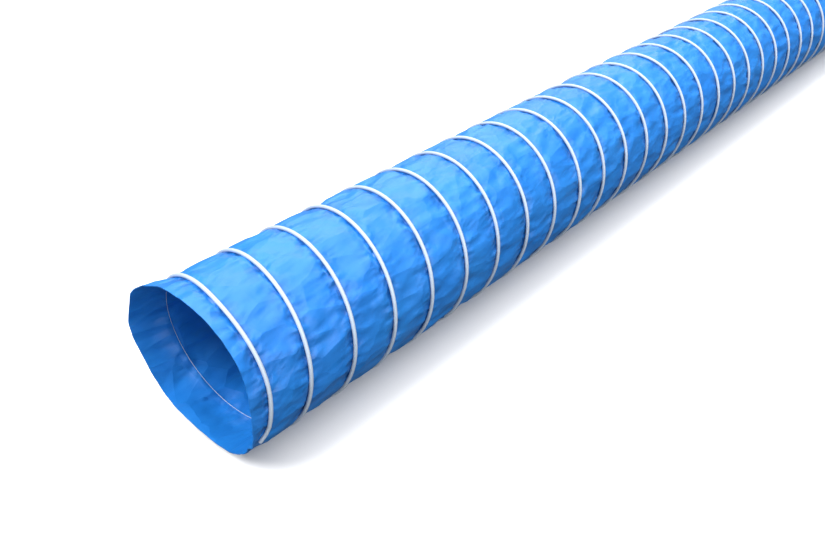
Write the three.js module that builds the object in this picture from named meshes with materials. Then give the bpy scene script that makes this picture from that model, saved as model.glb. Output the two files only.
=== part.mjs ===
// A length of flexible ventilation hose: a tube of coated fabric that is held open by a stiff
// round profile, wound round its outside in one long left-handed spiral.
// Millimetres, +Z up. The hose lies along X on the floor, with its cut mouth at the -X end and
// the origin on the floor below its middle. Angles round the hose start at the top and grow
// towards -Y. The round hose is drawn with flat facets, and the facets touch the true circle.
import * as THREE from 'three';
import { mergeVertices } from 'three/addons/utils/BufferGeometryUtils.js';

// Driving dimensions
const HOSE_LENGTH = 3000;
const BORE_DIAMETER = 200;
const FABRIC_THICKNESS = 1;
const PROFILE_WIDTH = 6;
const PROFILE_HEIGHT = 4;
const PROFILE_CORNER = 1.2;
const PITCH = 66;

// The profile is cut off with the fabric: each of its ends stops this far from the cut edge.
const PROFILE_TO_CUT_EDGE = 1;
const PROFILE_GRIP_CLEARANCE = 0.3;

// The facets: an even count in each quarter leaves one flat facet straight below the axis.
const FACETS = 16;
const FACET_ANGLE = (2 * Math.PI) / FACETS;
const PROFILE_START_FACET = 5;

const boreRadius = BORE_DIAMETER / 2;
const fabricRadius = boreRadius + FABRIC_THICKNESS;
const profileSeat = fabricRadius + PROFILE_GRIP_CLEARANCE;
const hoseRadius = profileSeat + PROFILE_HEIGHT;

// Distance from the axis to a facet's corner, for a facet whose middle touches the circle
const cornerRadius = (radius) => radius / Math.cos(FACET_ANGLE / 2);

function closedBody(geometry) {
  geometry.deleteAttribute('normal');
  geometry.deleteAttribute('uv');
  const body = mergeVertices(geometry, 1e-4);
  body.computeVertexNormals();
  return body;
}

// The fabric tube, turned from its wall section: outside, far edge, bore, mouth edge
function fabricTube() {
  const section = [
    [fabricRadius, 0],
    [fabricRadius, HOSE_LENGTH],
    [boreRadius, HOSE_LENGTH],
    [boreRadius, 0],
    [fabricRadius, 0],
  ].map(([radius, along]) => new THREE.Vector2(cornerRadius(radius), along));
  const tube = new THREE.LatheGeometry(section, FACETS, FACET_ANGLE / 2);
  tube.rotateZ(-Math.PI / 2);
  return closedBody(tube);
}

// The profile's section: x is the height above the fabric, y is the width along the hose
function profileSection() {
  const side = PROFILE_WIDTH / 2;
  const crown = side - PROFILE_CORNER;
  const shoulder = PROFILE_HEIGHT - PROFILE_CORNER;
  return new THREE.Shape([
    new THREE.Vector2(0, -side),
    new THREE.Vector2(shoulder, -side),
    new THREE.Vector2(PROFILE_HEIGHT, -crown),
    new THREE.Vector2(PROFILE_HEIGHT, crown),
    new THREE.Vector2(shoulder, side),
    new THREE.Vector2(0, side),
  ]);
}

// The profile is drawn as a straight bar of one step for each facet, then wound on the tube
function woundProfile() {
  const endInset = PROFILE_TO_CUT_EDGE + PROFILE_WIDTH / 2;
  const stepAlong = PITCH / FACETS;
  const steps = Math.floor((HOSE_LENGTH - 2 * endInset) / stepAlong);
  const bar = new THREE.ExtrudeGeometry(profileSection(), {
    depth: steps,
    steps,
    bevelEnabled: false,
  });
  const place = bar.attributes.position;
  for (let i = 0; i < place.count; i += 1) {
    const height = place.getX(i);
    const sideways = place.getY(i);
    const step = Math.round(place.getZ(i));
    const angle = (PROFILE_START_FACET - step + 0.5) * FACET_ANGLE;
    const radius = cornerRadius(profileSeat + height);
    place.setXYZ(
      i,
      endInset + step * stepAlong + sideways,
      -radius * Math.sin(angle),
      radius * Math.cos(angle),
    );
  }
  return closedBody(bar);
}

function piece(name, geometry, material) {
  const mesh = new THREE.Mesh(geometry, new THREE.MeshStandardMaterial(material));
  mesh.name = name;
  return mesh;
}

const hose = new THREE.Group();
hose.add(piece('fabric_tube', fabricTube(), {
  color: 0x2f8fe8,
  roughness: 0.45,
  metalness: 0,
}));
hose.add(piece('spiral_profile', woundProfile(), {
  color: 0xe9eef2,
  roughness: 0.4,
  metalness: 0,
}));
hose.position.set(-HOSE_LENGTH / 2, 0, hoseRadius);

export default hose;
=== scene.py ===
import math

import bpy
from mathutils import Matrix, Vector, noise


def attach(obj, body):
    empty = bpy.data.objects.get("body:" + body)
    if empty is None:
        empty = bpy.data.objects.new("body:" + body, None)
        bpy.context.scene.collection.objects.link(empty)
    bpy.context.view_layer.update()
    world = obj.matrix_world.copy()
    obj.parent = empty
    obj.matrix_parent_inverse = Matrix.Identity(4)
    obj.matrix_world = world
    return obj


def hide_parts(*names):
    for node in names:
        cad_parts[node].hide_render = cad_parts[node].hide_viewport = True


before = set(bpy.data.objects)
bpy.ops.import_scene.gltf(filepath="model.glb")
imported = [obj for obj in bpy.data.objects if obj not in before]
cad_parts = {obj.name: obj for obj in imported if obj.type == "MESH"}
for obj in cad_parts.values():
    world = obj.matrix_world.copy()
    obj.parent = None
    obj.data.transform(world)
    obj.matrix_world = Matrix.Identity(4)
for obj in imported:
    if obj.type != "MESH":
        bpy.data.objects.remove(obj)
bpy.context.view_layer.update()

# ---------------------------------------------------------------------------
# Fabric wall
# One tube of polyester cloth, coated with blue plastic on both faces. It is held round and
# open by the profile wound on it, so it bulges a little between the turns, puckers beside
# them and lies in shallow crumples. Both ends are raw cuts, and the free cuffs go limp.
# ---------------------------------------------------------------------------
HOSE_LENGTH = 3.0
BORE_RADIUS = 0.100
FABRIC_THICKNESS = 0.001
FABRIC_RADIUS = BORE_RADIUS + FABRIC_THICKNESS
AXIS_HEIGHT = 0.1053
PITCH = 0.066
PROFILE_START_ANGLE = math.radians(123.75)
MOUTH_X = -HOSE_LENGTH / 2
FAR_X = HOSE_LENGTH / 2
PROFILE_START_X = MOUTH_X + 0.004
WOUND_TURNS = 45.3125
SMOOTH_ANGLE = math.radians(60)
# How far the first turn runs ahead of the even pitch, and the share of a turn over which it
# gets ahead, from which it falls back and over which it does so. Then its wobble.
FIRST_TURN_LEAD = 0.0105
LEAD_BEGINS_OVER = 0.055
LEAD_ENDS_FROM = 0.11
LEAD_ENDS_OVER = 0.21
PROFILE_WOBBLE = 0.0005
WOBBLES_PER_TURN = 3.1


def rise(share):
    """A smooth step from 0 to 1 while the share of the way goes from 0 to 1."""
    share = min(max(share, 0.0), 1.0)
    return share * share * (3 - 2 * share)


def profile_x(turns):
    """Where the middle of the profile lies along the hose, so many turns from its start.
    The first turn begins more nearly square to the cut, then falls in with the rest."""
    begun = rise(turns / LEAD_BEGINS_OVER)
    ended = rise((turns - LEAD_ENDS_FROM) / LEAD_ENDS_OVER)
    lead = FIRST_TURN_LEAD * begun * (1 - ended)
    wobble = PROFILE_WOBBLE * noise.noise(Vector((turns * WOBBLES_PER_TURN, 4.7, 0.9)))
    return PROFILE_START_X + PITCH * turns + lead + wobble


def on_hose(x, angle, radius):
    """A place on the hose. Angles start at the top and grow towards -Y."""
    return Vector((x, -radius * math.sin(angle), AXIS_HEIGHT + radius * math.cos(angle)))


# Where the limp cuff at the mouth stands out (+) or sags in (-): the angle in degrees, how
# far round it reaches to each side, and how far it goes
MOUTH_PUSHES = (
    (5, 30, -0.0020),
    (54, 26, 0.0022),
    (92, 30, -0.0037),
    (143, 34, -0.0037),
    (180, 40, -0.0112),
    (215, 36, -0.0069),
    (245, 28, -0.0037),
    (277, 26, 0.0066),
    (281, 9, 0.0010),
    (308, 30, 0.0083),
    (308, 9, 0.0014),
    (335, 24, 0.0021),
)
FAR_PUSHES = ((40, 40, -0.004), (120, 45, 0.004), (200, 50, -0.005), (300, 50, 0.004))
# The same for the line of the cut, along the hose
MOUTH_CUT_WAVES = ((90, 45, -0.0012), (185, 62, 0.0035), (286, 55, -0.0035))
FAR_CUT_WAVES = ((30, 60, 0.002), (160, 50, -0.003), (270, 55, 0.003))
CUT_WAVE_REACH = 0.036


def soft_push(angle, pushes):
    """The sum of the soft pushes at this angle."""
    total = 0.0
    for middle, reach, push in pushes:
        away = abs((math.degrees(angle) - middle + 180) % 360 - 180)
        if away < reach:
            total += push * 0.5 * (1 + math.cos(math.pi * away / reach))
    return total


# How strongly each kind of fold is worked in. The sum is rounded off at MOST_CRUMPLE.
DENT = 0.0012
FOLD = 0.0160
SMALL_FOLD = 0.0030
PUCKER = 0.0100
MOST_CRUMPLE = 0.0015
# The crumples' length along the hose, how much narrower they are round it, how far they
# wander and how fast they drift round, in radians a metre. Then the scales of the others.
FOLD_LENGTH = 0.034
FOLD_NARROWING = 1.8
FOLD_WANDER = 0.9
DRIFT = 2.4
WANDER_SCALE = 0.7
DENT_SCALE = 0.55
SMALL_SCALE = 2.1
PUCKER_LENGTH = 0.040
PUCKER_WIDTH = 0.015
# Where in the noise the wandering along, sideways and up is read
WANDER_SHIFTS = (Vector((5.1, 2.2, 9.4)), Vector((14.3, 8.7, 0.6)), Vector((2.9, 17.5, 6.8)))


def crumple(x, angle):
    """How far the cloth stands out in its shallow crumples, in metres. They run along the
    hose and drift down its side towards the far end."""
    turned = angle - DRIFT * x
    across = Vector((0, math.sin(turned), math.cos(turned))) * FABRIC_RADIUS
    place = Vector((x, across.y * FOLD_NARROWING, across.z * FOLD_NARROWING)) / FOLD_LENGTH
    wander = [noise.noise(place * WANDER_SCALE + shift) for shift in WANDER_SHIFTS]
    place += FOLD_WANDER * Vector(wander)
    dents = noise.noise(place * DENT_SCALE + Vector((3.3, 8.1, 5.2)))
    folds = abs(noise.noise(place)) - abs(noise.noise(place + Vector((17.2, 4.4, 11.8))))
    small = place * SMALL_SCALE
    small_folds = abs(noise.noise(small)) - abs(noise.noise(small + Vector((0, 31, 7))))
    return DENT * dents + FOLD * folds + SMALL_FOLD * small_folds


def pucker(x, angle):
    """Short gathers of the cloth that stand square to the profile, in metres."""
    across = Vector((0, math.sin(angle), math.cos(angle))) * FABRIC_RADIUS
    along = x / PUCKER_LENGTH + 21
    place = Vector((along, across.y / PUCKER_WIDTH, across.z / PUCKER_WIDTH))
    return PUCKER * noise.noise(place)


# Between the turns the cloth stands out by BULGE. It dips by GROOVE just before a turn, and
# the folds grow and fade over these distances from the profile.
BULGE = 0.0016
BULGE_REACH = 0.010
FOLD_REACH = 0.014
PUCKER_REACH = 0.005
PUCKER_FADE = 0.011
GROOVE = 0.0010
GROOVE_DOWN = 0.003
GROOVE_UP = 0.004
# The crease value fades from 1 at the profile, is weaker past a turn and in the bore. It
# deepens the bump there and paints shade into the cloth's colour.
CREASE_FADE = 0.009
PAST_TURN_CREASE = 0.6
BORE_CREASE = 0.35
# A row this near to a cut lies on it. The cuffs are calmer, and held at the profile's ends.
CUT_SNAP = 0.0006
CUFF_CALM = 0.90
END_HOLD = 0.04


def cloth_place(turn, part_turn, share):
    """A place on the cloth, this share of the way from one turn of the profile to the next:
    how far along the hose, how far out from the round, and how creased it is."""
    angle = PROFILE_START_ANGLE - math.tau * part_turn
    line, next_line = turn_lines[turn, part_turn], turn_lines[turn + 1, part_turn]
    x = line * (1 - share) + next_line * share
    if x < MOUTH_X + CUT_SNAP:
        x = MOUTH_X
    elif x > FAR_X - CUT_SNAP:
        x = FAR_X
    mouth_slack = far_slack = 0.0
    from_line, to_next = x - line, next_line - x
    last_turn = math.floor(WOUND_TURNS - part_turn)
    if turn < 0:
        beside_start = math.tau * FABRIC_RADIUS * (1 - part_turn)
        to_next = turn_lines[0, part_turn] - x
        from_line = math.hypot(x - PROFILE_START_X, beside_start)
        mouth_slack = to_next / (turn_lines[0, part_turn] - MOUTH_X)
        mouth_slack *= rise(min(part_turn, 1 - part_turn) / END_HOLD)
    elif turn >= last_turn:
        past_end = (part_turn - WOUND_TURNS) % 1.0
        beside_end = math.tau * FABRIC_RADIUS * past_end
        from_line = x - turn_lines[last_turn, part_turn]
        to_next = math.hypot(profile_x(WOUND_TURNS) - x, beside_end)
        far_slack = from_line / (FAR_X - turn_lines[last_turn, part_turn])
        far_slack *= rise(min(past_end, 1 - past_end) / END_HOLD)
    free = min(from_line, to_next)
    calm = 1 - CUFF_CALM * rise(max(mouth_slack, far_slack))
    folds = crumple(x, angle) * rise(free / FOLD_REACH)
    folds += pucker(x, angle) * rise(free / PUCKER_REACH) * math.exp(-free / PUCKER_FADE)
    out = BULGE * rise(free / BULGE_REACH)
    out += MOST_CRUMPLE * math.tanh(folds * calm / MOST_CRUMPLE)
    crease = math.exp(-free / CREASE_FADE)
    if to_next < from_line:
        out -= GROOVE * (rise(free / GROOVE_DOWN) - rise((free - GROOVE_DOWN) / GROOVE_UP))
    else:
        crease *= PAST_TURN_CREASE
    out += soft_push(angle, MOUTH_PUSHES) * mouth_slack
    return x, out + soft_push(angle, FAR_PUSHES) * far_slack, crease


# The cloth's mesh: columns round the hose, and rows at these shares of the way between turns.
# Its turns begin before the mouth and end past the far cut, and are cut off at both.
COLUMNS = 144
OUTSIDE_ROWS = (0, 0.05, 0.11, 0.19, 0.33, 0.54, 0.75, 0.88, 0.95)
INSIDE_ROWS = (0, 0.05, 0.19, 0.54, 0.88, 0.95)
FIRST_TURN = -2
LAST_TURN = 46
SAME_PLACE = 0.00002
FLOOR_CLEARANCE = 0.0006


def roll_cloth(name, row_places, depth):
    """One face of the cloth, rolled up along the profile and cut off at both ends. The rows
    of its mesh follow the profile and lie closest together beside it. The face in the bore
    has fewer rows, and stays under the outside's rows that it leaves out."""
    rows = (LAST_TURN - FIRST_TURN) * len(row_places)
    bpy.ops.object.select_all(action="DESELECT")
    bpy.ops.mesh.primitive_grid_add(x_subdivisions=COLUMNS, y_subdivisions=rows, size=1)
    made = bpy.context.object
    made.name = made.data.name = name
    creases = made.data.attributes.new("crease", "FLOAT", "POINT")
    all_rows = [place - 1 for place in OUTSIDE_ROWS] + [*OUTSIDE_ROWS, 1.0]
    near_rows = []
    for row, place in enumerate(row_places):
        lower = row_places[row - 1] - (row == 0)
        upper = [*row_places, 1.0][row + 1]
        near_rows.append([other - place for other in all_rows if lower < other < upper])
    for vertex in made.data.vertices:
        column = round((vertex.co.x + 0.5) * COLUMNS)
        turn, row = divmod(round((vertex.co.y + 0.5) * rows), len(row_places))
        turn += FIRST_TURN + column // COLUMNS
        part_turn = column % COLUMNS / COLUMNS
        x, out, crease = cloth_place(turn, part_turn, row_places[row])
        in_cuff = turn < 0 or turn >= math.floor(WOUND_TURNS - part_turn)
        for aside in () if in_cuff else near_rows[row]:
            share = row_places[row] + aside
            out = min(out, cloth_place(turn + math.floor(share), part_turn, share % 1.0)[1])
        creases.data[vertex.index].value = crease * (BORE_CREASE if depth else 1.0)
        angle = PROFILE_START_ANGLE - math.tau * part_turn
        vertex.co = on_hose(x, angle, FABRIC_RADIUS - depth + out)
        vertex.co.z = max(vertex.co.z, FLOOR_CLEARANCE + depth)
    bpy.ops.object.mode_set(mode="EDIT")
    bpy.ops.mesh.select_all(action="SELECT")
    bpy.ops.mesh.remove_doubles(threshold=SAME_PLACE)
    bpy.ops.mesh.normals_make_consistent(inside=depth > 0)
    bpy.ops.object.mode_set(mode="OBJECT")
    for vertex in made.data.vertices:
        angle = math.atan2(-vertex.co.y, vertex.co.z - AXIS_HEIGHT)
        from_mouth, from_far = vertex.co.x - MOUTH_X, FAR_X - vertex.co.x
        if from_mouth < CUT_WAVE_REACH:
            near = 1 - from_mouth / CUT_WAVE_REACH
            vertex.co.x += soft_push(angle, MOUTH_CUT_WAVES) * near
        if from_far < CUT_WAVE_REACH:
            near = 1 - from_far / CUT_WAVE_REACH
            vertex.co.x += soft_push(angle, FAR_CUT_WAVES) * near
    return made


# Where the profile's line lies, turn by turn, at each column of the cloth's mesh
turn_lines = {
    (turn, column / COLUMNS): profile_x(turn + column / COLUMNS)
    for turn in range(FIRST_TURN - 1, LAST_TURN + 3)
    for column in range(COLUMNS)
}
wall = roll_cloth("fabric_wall", OUTSIDE_ROWS, 0)
roll_cloth("bore_side", INSIDE_ROWS, FABRIC_THICKNESS)

# The two faces become one wall: their raw edges are bridged at both cuts
wall.select_set(True)
bpy.context.view_layer.objects.active = wall
bpy.ops.object.join()
for near_mouth in (True, False):
    bpy.ops.object.mode_set(mode="EDIT")
    bpy.ops.mesh.select_mode(type="EDGE")
    bpy.ops.mesh.select_all(action="DESELECT")
    bpy.ops.mesh.select_non_manifold()
    bpy.ops.object.mode_set(mode="OBJECT")
    for edge in wall.data.edges:
        middle = sum(wall.data.vertices[v].co.x for v in edge.vertices) / 2
        edge.select = edge.select and (middle < 0) == near_mouth
    bpy.ops.object.mode_set(mode="EDIT")
    bpy.ops.mesh.bridge_edge_loops()
    bpy.ops.object.mode_set(mode="OBJECT")
bpy.ops.object.shade_smooth_by_angle(angle=SMOOTH_ANGLE)


class Shade:
    """An output of a material's node, with which sums are written as on paper."""

    def __init__(self, tree, socket=None):
        self.tree = tree
        self.socket = socket

    def node(self, kind, settings=None, inputs=None, output=0):
        made = self.tree.nodes.new(kind)
        for name, value in (settings or {}).items():
            setattr(made, name, value)
        for name, value in (inputs or {}).items():
            if isinstance(value, Shade):
                self.tree.links.new(value.socket, made.inputs[name])
            else:
                made.inputs[name].default_value = value
        return Shade(self.tree, made.outputs[output])

    def maths(self, operation, first, second=0.0):
        return self.node("ShaderNodeMath", {"operation": operation}, {0: first, 1: second})

    def mix(self, first, second, share):
        """A colour that goes from the first to the second as the share goes from 0 to 1."""
        return self.node(
            "ShaderNodeMix", {"data_type": "RGBA"}, {0: share, 6: first, 7: second}, 2
        )

    def __add__(self, other):
        return self.maths("ADD", self, other)

    def __sub__(self, other):
        return self.maths("SUBTRACT", self, other)

    def __mul__(self, other):
        return self.maths("MULTIPLY", self, other)

    def __abs__(self):
        return self.maths("ABSOLUTE", self)

    __radd__ = __add__
    __rmul__ = __mul__


def new_material(name):
    """An empty material with its shader, and the Shade that its nodes are made with."""
    material = bpy.data.materials.new(name)
    material.use_nodes = True
    shader = material.node_tree.nodes["Principled BSDF"]
    return material, shader, Shade(material.node_tree)


FABRIC_BLUE = (0.0, 0.145, 0.59, 1)
FABRIC_PALE_BLUE = (0.016, 0.220, 0.62, 1)
# The deep blue of the painted shade in the creases beside the profile and in the gathers'
# valleys
CREASE_SHADE_BLUE = (0.0, 0.070, 0.31, 1)
THREADS_ALONG = 1500
THREADS_AROUND = 320

# The cloth's own map for its weave: along the hose and round it, with the seam at the bottom
uv = wall.data.uv_layers.active or wall.data.uv_layers.new(name="cloth")
uv.name = "cloth"
for face in wall.data.polygons:
    rounds = []
    for corner in face.loop_indices:
        place = wall.data.vertices[wall.data.loops[corner].vertex_index].co
        rounds.append((math.atan2(-place.y, place.z - AXIS_HEIGHT) / math.tau + 0.5) % 1.0)
        uv.data[corner].uv.x = (place.x - MOUTH_X) / HOSE_LENGTH
    if max(rounds) - min(rounds) > 0.5:
        rounds = [r + 1 if r < 0.5 else r for r in rounds]
    for corner, r in zip(face.loop_indices, rounds):
        uv.data[corner].uv.y = r

fabric, shader, shade = new_material("coated_fabric")
cloth = shade.node("ShaderNodeUVMap", {"uv_map": "cloth"})
along = shade.node("ShaderNodeSeparateXYZ", None, {0: cloth})
around = Shade(shade.tree, along.socket.node.outputs[1])
warp = along * (THREADS_ALONG * math.pi)
weft = around * (THREADS_AROUND * math.pi)
weave = abs(shade.maths("SINE", warp)) * abs(shade.maths("SINE", weft))
place = shade.node("ShaderNodeTexCoord", None, None, 3)
tint = shade.node(
    "ShaderNodeTexNoise", None, {"Vector": place, "Scale": 9.0, "Detail": 3.0, "Roughness": 0.6}
)
stretched = shade.node("ShaderNodeMapping", None, {"Vector": place, "Scale": (0.6, 1.0, 1.0)})
fine_folds = shade.node(
    "ShaderNodeTexNoise",
    None,
    {"Vector": stretched, "Scale": 36.0, "Detail": 0.5, "Distortion": 0.6},
)
facets = shade.node("ShaderNodeTexVoronoi", None, {"Vector": stretched, "Scale": 36.0})
gathers = shade.node(
    "ShaderNodeTexNoise", None, {"Vector": stretched, "Scale": 85.0, "Detail": 1.0}
)
crease = shade.node("ShaderNodeAttribute", {"attribute_name": "crease"}, None, 2)
# Painted shade in the gathers' valleys: it goes from 0 to 1 where the gathers' noise sinks from
# 0.54 to 0.43
valley_shade = shade.node("ShaderNodeMath", {"use_clamp": True}, {0: 4.9, 1: gathers * -9.0})
grime = shade.node(
    "ShaderNodeTexNoise", None, {"Vector": place, "Scale": 240.0, "Detail": 3.0}
)
colour = shade.mix(FABRIC_BLUE, FABRIC_PALE_BLUE, tint)
# Painted shade: the cloth's colour darkens to a deep blue beside the profile, most on the mouth
# side of each turn, and in the gathers' valleys
colour = shade.mix(colour, CREASE_SHADE_BLUE, crease * (0.35 * crease + 0.9 * valley_shade))
shade.tree.links.new(colour.socket, shader.inputs["Base Color"])
roughness = 0.43 + 0.08 * tint + 0.06 * grime
shade.tree.links.new(roughness.socket, shader.inputs["Roughness"])
# The folds and gathers are centred on the surface, and are strongest beside the profile
fine_folds = (fine_folds - 0.5) * (0.5 + crease)
gathers = (gathers - 0.5) * (1.8 * crease)
fold_bump = shade.node(
    "ShaderNodeBump",
    None,
    {
        "Strength": 1.0,
        "Distance": 0.0080,
        "Height": fine_folds + 0.6 * facets + gathers,
    },
)
weave_bump = shade.node(
    "ShaderNodeBump",
    None,
    {"Strength": 0.25, "Distance": 0.0001, "Height": weave, "Normal": fold_bump},
)
shade.tree.links.new(weave_bump.socket, shader.inputs["Normal"])
shader.inputs["IOR"].default_value = 1.5
shader.inputs["Specular IOR Level"].default_value = 0.6
wall.data.materials.clear()
wall.data.materials.append(fabric)

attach(wall, "root")
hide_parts("fabric_tube")

# ---------------------------------------------------------------------------
# Spiral profile
# One stiff extruded plastic profile, pale and satin, with a rounded back. It is wound on
# the outside of the cloth in a left-handed spiral and grips it from outside. The narrow
# back of its grip shows inside the bore as a fine pale line.
# ---------------------------------------------------------------------------
PROFILE_WIDTH = 0.0046
PROFILE_HEIGHT = 0.0046
PROFILE_MIDDLE = 0.1030
PROFILE_SEAT = 0.1010
PROFILE_POINTS = 14
GRIP_SIZE = 0.0008
GRIP_MIDDLE = 0.1000
GRIP_POINTS = 6
STEPS_PER_TURN = 64
START_TRIM = 1.5 / STEPS_PER_TURN


def wind(name, width, height, middle, seat, points):
    """Draws a rounded section above the axis, cut flat at its seat, and winds it along the
    hose in a spiral."""
    bpy.ops.object.select_all(action="DESELECT")
    bpy.ops.mesh.primitive_circle_add(
        vertices=points, radius=0.5, rotation=(math.pi / 2, 0, 0)
    )
    made = bpy.context.object
    made.name = made.data.name = name
    bpy.ops.object.transform_apply(location=True, rotation=True, scale=True)
    for vertex in made.data.vertices:
        vertex.co.x *= width
        vertex.co.z = max(middle + vertex.co.z * height, seat)
    screw = made.modifiers.new("winding", "SCREW")
    screw.axis = "X"
    steps = round(STEPS_PER_TURN * (WOUND_TURNS - START_TRIM))
    screw.steps = screw.render_steps = steps
    screw.angle = -math.tau * steps / STEPS_PER_TURN
    screw.screw_offset = PITCH * steps / STEPS_PER_TURN
    bpy.ops.object.modifier_apply(modifier=screw.name)
    for vertex in made.data.vertices:
        turns = vertex.index // points / STEPS_PER_TURN
        vertex.co.x += profile_x(turns + START_TRIM) - PROFILE_START_X - PITCH * turns
    made.rotation_euler.x = PROFILE_START_ANGLE - math.tau * START_TRIM
    made.location = (PROFILE_START_X, 0, AXIS_HEIGHT)
    bpy.ops.object.transform_apply(location=True, rotation=True, scale=True)
    bpy.ops.object.mode_set(mode="EDIT")
    bpy.ops.mesh.select_all(action="SELECT")
    bpy.ops.mesh.fill_holes(sides=points)
    bpy.ops.mesh.select_all(action="SELECT")
    bpy.ops.mesh.normals_make_consistent(inside=False)
    bpy.ops.object.mode_set(mode="OBJECT")
    return made


profile = wind(
    "wound_profile", PROFILE_WIDTH, PROFILE_HEIGHT, PROFILE_MIDDLE, PROFILE_SEAT, PROFILE_POINTS
)
wind("profile_grip", GRIP_SIZE, GRIP_SIZE, GRIP_MIDDLE, 0.0, GRIP_POINTS)
profile.select_set(True)
bpy.context.view_layer.objects.active = profile
bpy.ops.object.join()
bpy.ops.object.shade_smooth_by_angle(angle=SMOOTH_ANGLE)

PLASTIC_PALE_GREY = (0.42, 0.50, 0.60, 1)
PLASTIC_WHITE = (0.49, 0.57, 0.67, 1)

plastic, shader, shade = new_material("pale_plastic")
place = shade.node("ShaderNodeTexCoord", None, None, 3)
mottle = shade.node(
    "ShaderNodeTexNoise", None, {"Vector": place, "Scale": 35.0, "Detail": 3.0}
)
colour = shade.mix(PLASTIC_PALE_GREY, PLASTIC_WHITE, mottle)
shade.tree.links.new(colour.socket, shader.inputs["Base Color"])
roughness = 0.28 + 0.14 * mottle
shade.tree.links.new(roughness.socket, shader.inputs["Roughness"])
plastic_bump = shade.node(
    "ShaderNodeBump", None, {"Strength": 0.2, "Distance": 0.0003, "Height": mottle}
)
shade.tree.links.new(plastic_bump.socket, shader.inputs["Normal"])
profile.data.materials.clear()
profile.data.materials.append(plastic)

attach(profile, "root")
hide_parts("spiral_profile")

# ---------------------------------------------------------------------------
# Studio
# A plain white floor in a dim white room, under four soft lights: a broad one above, one on
# the mouth's side, one beyond the far end and a low one on the viewer's side.
# The camera looks down along the hose from beside its mouth.
# ---------------------------------------------------------------------------
FLOOR_SIZE = 30
PAPER_WHITE = (0.85, 0.85, 0.85, 1)

bpy.ops.object.select_all(action="DESELECT")
bpy.ops.mesh.primitive_plane_add(size=FLOOR_SIZE)
floor = bpy.context.object
floor.name = "studio_floor"
paper, shader, shade = new_material("white_paper")
shader.inputs["Base Color"].default_value = PAPER_WHITE
shader.inputs["Roughness"].default_value = 0.9
shader.inputs["Specular IOR Level"].default_value = 0.0
floor.data.materials.append(paper)
floor.visible_glossy = floor.visible_diffuse = False

room = bpy.data.worlds.new("white_room")
room.use_nodes = True
background = room.node_tree.nodes["Background"]
background.inputs["Color"].default_value = (1, 1, 1, 1)
background.inputs["Strength"].default_value = 0.15
bpy.context.scene.world = room

# Each light's name, the direction it comes from, its strength and its width in degrees
SOFT_LIGHTS = (
    ("soft_light", (-0.05, -0.12, 1.0), 4.0, 95),
    ("soft_left_light", (-0.55, 0.20, 0.85), 2.8, 30),
    ("soft_back_light", (0.62, 0.54, 0.55), 1.1, 40),
    ("soft_front_light", (-0.12, -0.95, 0.30), 1.6, 50),
)
for name, direction, energy, width in SOFT_LIGHTS:
    bpy.ops.object.light_add(type="SUN")
    light = bpy.context.object
    light.name = name
    light.rotation_euler = Vector(direction).to_track_quat("Z", "Y").to_euler()
    light.data.energy = energy
    light.data.angle = math.radians(width)

bpy.ops.object.camera_add(
    location=(-1.8630, -0.6288, 0.6874),
    rotation=(math.radians(56.524), 0, math.radians(-48.814)),
)
camera = bpy.context.object
camera.name = "camera"
camera.data.sensor_width = 36
camera.data.lens = 36.70
bpy.context.scene.camera = camera
bpy.context.scene.view_settings.view_transform = "Standard"
